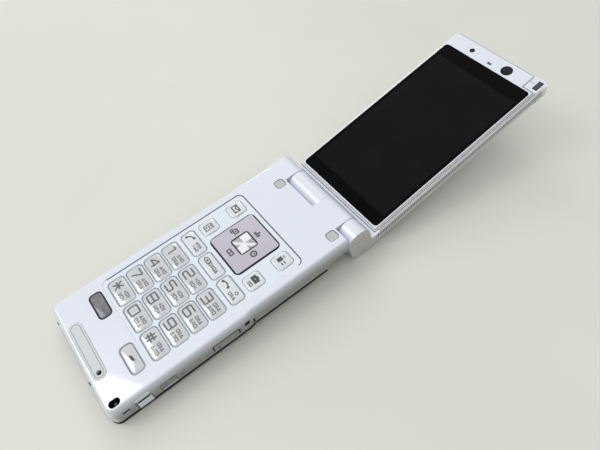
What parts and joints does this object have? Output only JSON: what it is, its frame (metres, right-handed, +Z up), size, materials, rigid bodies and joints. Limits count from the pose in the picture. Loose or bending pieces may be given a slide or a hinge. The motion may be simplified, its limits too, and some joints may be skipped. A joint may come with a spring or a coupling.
{
  "type": "keypad mobile phone",
  "caption": "Folding keypad mobile phone lying open, with a sideways swinging tall screen, number keys, a square navigation pad and ports along its right wall.",
  "frame": {"origin": "on the flat underside of the base, below the middle of the base's width and of its length from the front end to the round of the hinge", "axes": "+X to the right seen from above the keypad, +Y along the base towards the lid hinge, +Z up out of the keypad"},
  "size_m": [0.0505, 0.2107, 0.0243],
  "materials": {
    "pearl_white": "glossy pearl white with a slight lavender cast",
    "keypad_white": "glossy cool white",
    "key_frost": "clear lacquered frosted grey",
    "key_grey": "clear lacquered dark grey",
    "mauve_silver": "satin mauve silver",
    "bright_metal": "bright plated",
    "bar_silver": "satin with fine cross ribs",
    "window_black": "gloss black edged window",
    "screen_dark": "dark, switched off",
    "soft_grey": "matte pale grey",
    "soft_white": "satin white",
    "device_black": "black",
    "board_green": "solder mask green",
    "dome_film": "thin milky film",
    "battery_dark": "dark grey wrap",
    "contact_gold": "gold plated",
    "steel": "bright steel"
  },
  "bodies": {
    "base": {"base_top_cover": "pearl_white", "base_bottom_cover": "pearl_white", "keypad_plate": "keypad_white", "lid_bumpers": "soft_grey", "microphone_pad": "soft_grey", "microphone": "device_black", "strap_post": "steel", "main_board": "board_green", "dome_sheet": "dome_film", "battery_pack": "battery_dark", "battery_contacts": "contact_gold", "charging_connector": "steel", "charging_terminals": "steel", "loudspeaker": "device_black", "vibration_motor": "steel", "antenna": "contact_gold", "hinge_click_unit": "steel", "hinge_pin": "steel", "case_screws": "steel", "rear_camera": "device_black"},
    "frame": {"hinge_frame": "pearl_white", "side_bar": "bar_silver", "corner_post": "pearl_white", "pivot_cap": "bright_metal", "side_pivot_pins": "steel"},
    "display": {"display_bezel": "pearl_white", "display_window": "window_black", "lcd_panel": "screen_dark", "display_rear_cover": "pearl_white", "display_board": "board_green", "inner_camera": "device_black", "earpiece": "device_black", "light_sensor": "device_black"},
    "battery_cover": {"battery_cover": "pearl_white"},
    "side_key": {"side_key": "pearl_white"},
    "connector_cover": {"connector_cover": "soft_white"},
    "navigation_actuator": {"navigation_actuator": "device_black"},
    "navigation_ring": {"navigation_ring": "mauve_silver"},
    "key_1": {"key_1": "key_frost"},
    "key_2": {"key_2": "key_frost"},
    "key_3": {"key_3": "key_frost"},
    "key_4": {"key_4": "key_frost"},
    "key_5": {"key_5": "key_frost"},
    "key_6": {"key_6": "key_frost"},
    "key_7": {"key_7": "key_frost"},
    "key_8": {"key_8": "key_frost"},
    "key_9": {"key_9": "key_frost"},
    "key_star": {"key_star": "key_frost"},
    "key_0": {"key_0": "key_frost"},
    "key_hash": {"key_hash": "key_frost"},
    "call_key": {"call_key": "key_frost"},
    "clear_key": {"clear_key": "key_frost"},
    "end_key": {"end_key": "key_frost"},
    "function_key_upper_left": {"function_key_upper_left": "key_frost"},
    "function_key_upper_right": {"function_key_upper_right": "key_frost"},
    "function_key_lower_left": {"function_key_lower_left": "key_frost"},
    "function_key_lower_right": {"function_key_lower_right": "key_frost"},
    "lower_left_key": {"lower_left_key": "key_grey"},
    "lower_right_key": {"lower_right_key": "key_frost"},
    "select_key": {"select_key": "bright_metal"}
  },
  "joints": [
    {"name": "lid_hinge", "type": "hinge", "parent": "base", "child": "frame", "pos_m": [0, 0.05045, 0.0053], "axis": [1, 0, 0], "range_deg": [0, 169.6]},
    {"name": "side_hinge", "type": "hinge", "parent": "frame", "child": "display", "pos_m": [0.024, 0.10145, 0.00439], "axis": [0, -0.9836, -0.1805], "range_deg": [0, 160]},
    {"name": "battery_cover_slide", "type": "slide", "parent": "base", "child": "battery_cover", "axis": [0, 1, 0], "range_m": [0, 0.003]},
    {"name": "side_key_press", "type": "slide", "parent": "base", "child": "side_key", "axis": [-1, 0, 0], "range_m": [0, 0.0004], "stiffness_N_per_m": 3000},
    {"name": "connector_cover_hinge", "type": "hinge", "parent": "base", "child": "connector_cover", "pos_m": [0.0246, -0.0105, 0.00205], "axis": [0, 1, 0], "range_deg": [0, 90]},
    {"name": "navigation_tilt_up_down", "type": "hinge", "parent": "base", "child": "navigation_actuator", "pos_m": [0, 0.01511, 0.0086], "axis": [1, 0, 0], "range_deg": [-1.4, 1.4], "stiffness_Nm_per_rad": 0.2},
    {"name": "navigation_tilt_left_right", "type": "hinge", "parent": "navigation_actuator", "child": "navigation_ring", "pos_m": [0, 0.01511, 0.0086], "axis": [0, 1, 0], "range_deg": [-1.4, 1.4], "stiffness_Nm_per_rad": 0.2},
    {"name": "key_1_press", "type": "slide", "parent": "base", "child": "key_1", "axis": [0, 0, -1], "range_m": [0, 0.00035], "stiffness_N_per_m": 3400},
    {"name": "key_2_press", "type": "slide", "parent": "base", "child": "key_2", "axis": [0, 0, -1], "range_m": [0, 0.00035], "stiffness_N_per_m": 3400},
    {"name": "key_3_press", "type": "slide", "parent": "base", "child": "key_3", "axis": [0, 0, -1], "range_m": [0, 0.00035], "stiffness_N_per_m": 3400},
    {"name": "key_4_press", "type": "slide", "parent": "base", "child": "key_4", "axis": [0, 0, -1], "range_m": [0, 0.00035], "stiffness_N_per_m": 3400},
    {"name": "key_5_press", "type": "slide", "parent": "base", "child": "key_5", "axis": [0, 0, -1], "range_m": [0, 0.00035], "stiffness_N_per_m": 3400},
    {"name": "key_6_press", "type": "slide", "parent": "base", "child": "key_6", "axis": [0, 0, -1], "range_m": [0, 0.00035], "stiffness_N_per_m": 3400},
    {"name": "key_7_press", "type": "slide", "parent": "base", "child": "key_7", "axis": [0, 0, -1], "range_m": [0, 0.00035], "stiffness_N_per_m": 3400},
    {"name": "key_8_press", "type": "slide", "parent": "base", "child": "key_8", "axis": [0, 0, -1], "range_m": [0, 0.00035], "stiffness_N_per_m": 3400},
    {"name": "key_9_press", "type": "slide", "parent": "base", "child": "key_9", "axis": [0, 0, -1], "range_m": [0, 0.00035], "stiffness_N_per_m": 3400},
    {"name": "key_star_press", "type": "slide", "parent": "base", "child": "key_star", "axis": [0, 0, -1], "range_m": [0, 0.00035], "stiffness_N_per_m": 3400},
    {"name": "key_0_press", "type": "slide", "parent": "base", "child": "key_0", "axis": [0, 0, -1], "range_m": [0, 0.00035], "stiffness_N_per_m": 3400},
    {"name": "key_hash_press", "type": "slide", "parent": "base", "child": "key_hash", "axis": [0, 0, -1], "range_m": [0, 0.00035], "stiffness_N_per_m": 3400},
    {"name": "call_key_press", "type": "slide", "parent": "base", "child": "call_key", "axis": [0, 0, -1], "range_m": [0, 0.00035], "stiffness_N_per_m": 3400},
    {"name": "clear_key_press", "type": "slide", "parent": "base", "child": "clear_key", "axis": [0, 0, -1], "range_m": [0, 0.00035], "stiffness_N_per_m": 3400},
    {"name": "end_key_press", "type": "slide", "parent": "base", "child": "end_key", "axis": [0, 0, -1], "range_m": [0, 0.00035], "stiffness_N_per_m": 3400},
    {"name": "function_key_upper_left_press", "type": "slide", "parent": "base", "child": "function_key_upper_left", "axis": [0, 0, -1], "range_m": [0, 0.00035], "stiffness_N_per_m": 3400},
    {"name": "function_key_upper_right_press", "type": "slide", "parent": "base", "child": "function_key_upper_right", "axis": [0, 0, -1], "range_m": [0, 0.00035], "stiffness_N_per_m": 3400},
    {"name": "function_key_lower_left_press", "type": "slide", "parent": "base", "child": "function_key_lower_left", "axis": [0, 0, -1], "range_m": [0, 0.00035], "stiffness_N_per_m": 3400},
    {"name": "function_key_lower_right_press", "type": "slide", "parent": "base", "child": "function_key_lower_right", "axis": [0, 0, -1], "range_m": [0, 0.00035], "stiffness_N_per_m": 3400},
    {"name": "lower_left_key_press", "type": "slide", "parent": "base", "child": "lower_left_key", "axis": [0, 0, -1], "range_m": [0, 0.00035], "stiffness_N_per_m": 3400},
    {"name": "lower_right_key_press", "type": "slide", "parent": "base", "child": "lower_right_key", "axis": [0, 0, -1], "range_m": [0, 0.00035], "stiffness_N_per_m": 3400},
    {"name": "select_key_press", "type": "slide", "parent": "base", "child": "select_key", "axis": [0, 0, -1], "range_m": [0, 0.00035], "stiffness_N_per_m": 3400}
  ]
}
